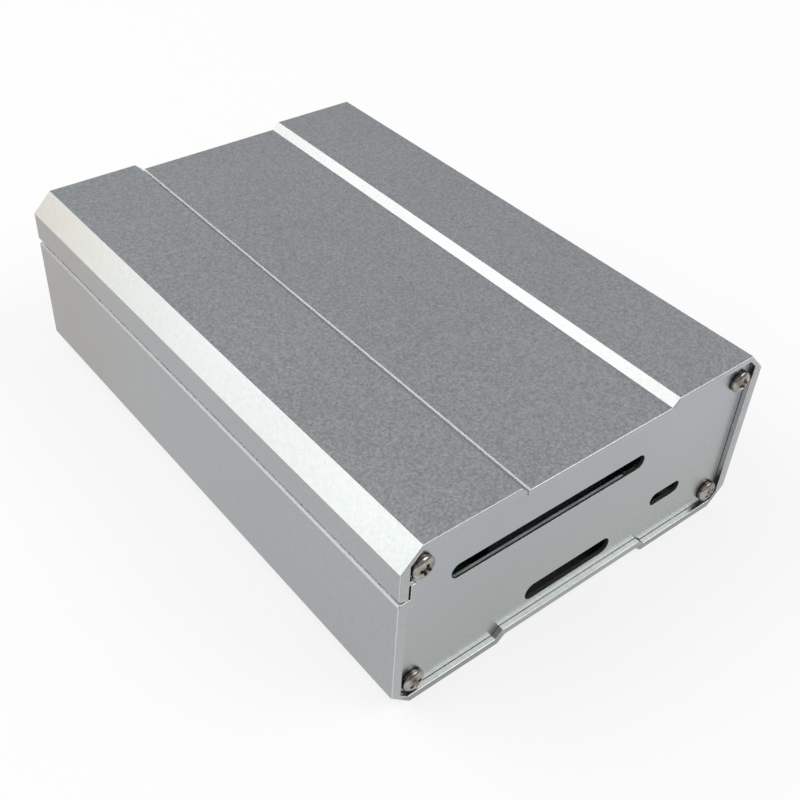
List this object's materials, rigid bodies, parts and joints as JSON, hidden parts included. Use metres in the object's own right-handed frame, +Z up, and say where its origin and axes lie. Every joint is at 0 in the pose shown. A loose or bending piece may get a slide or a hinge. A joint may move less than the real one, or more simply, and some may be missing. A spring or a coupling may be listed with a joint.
{
  "type": "single-board computer case",
  "caption": "Flat aluminium case for a small single-board computer, in two interlocking shells with sloped corners and a sunken middle band, with inset end plates for slots and sockets, and the board inside.",
  "frame": {"origin": "middle of the flat strips that the case stands on", "axes": "+X to the side with the small sockets, +Y to the end with the large sockets, +Z up through the sunken top"},
  "size_m": [0.063, 0.0916, 0.0284],
  "materials": {
    "shell": "bead-blasted, clear anodised",
    "plate": "bead-blasted, clear anodised",
    "screw": "nickel-plated",
    "board": "satin lacquer",
    "chip": "moulded",
    "black_plastic": "moulded",
    "white_plastic": "moulded",
    "contact": "gilt",
    "tin": "tinned",
    "can": "drawn",
    "light": "clear cast"
  },
  "bodies": {
    "root": {"top_shell": "shell", "bottom_shell": "shell", "front_plate": "plate", "rear_plate": "plate", "front_plate_screws": "screw", "rear_plate_screws": "screw", "circuit_board": "board", "processor": "chip", "memory_chip": "chip", "network_chip": "chip", "header_strip": "black_plastic", "header_pins": "contact", "display_connector": "black_plastic", "camera_connector": "black_plastic", "power_socket": "tin", "video_socket": "tin", "audio_socket": "black_plastic", "network_socket": "tin", "double_port_left": "tin", "double_port_right": "tin", "contact_tongues": "white_plastic", "card_socket": "tin", "memory_card": "black_plastic", "status_lights": "light", "power_coils": "chip", "capacitors": "can", "clock_crystal": "tin"}
  },
  "joints": []
}
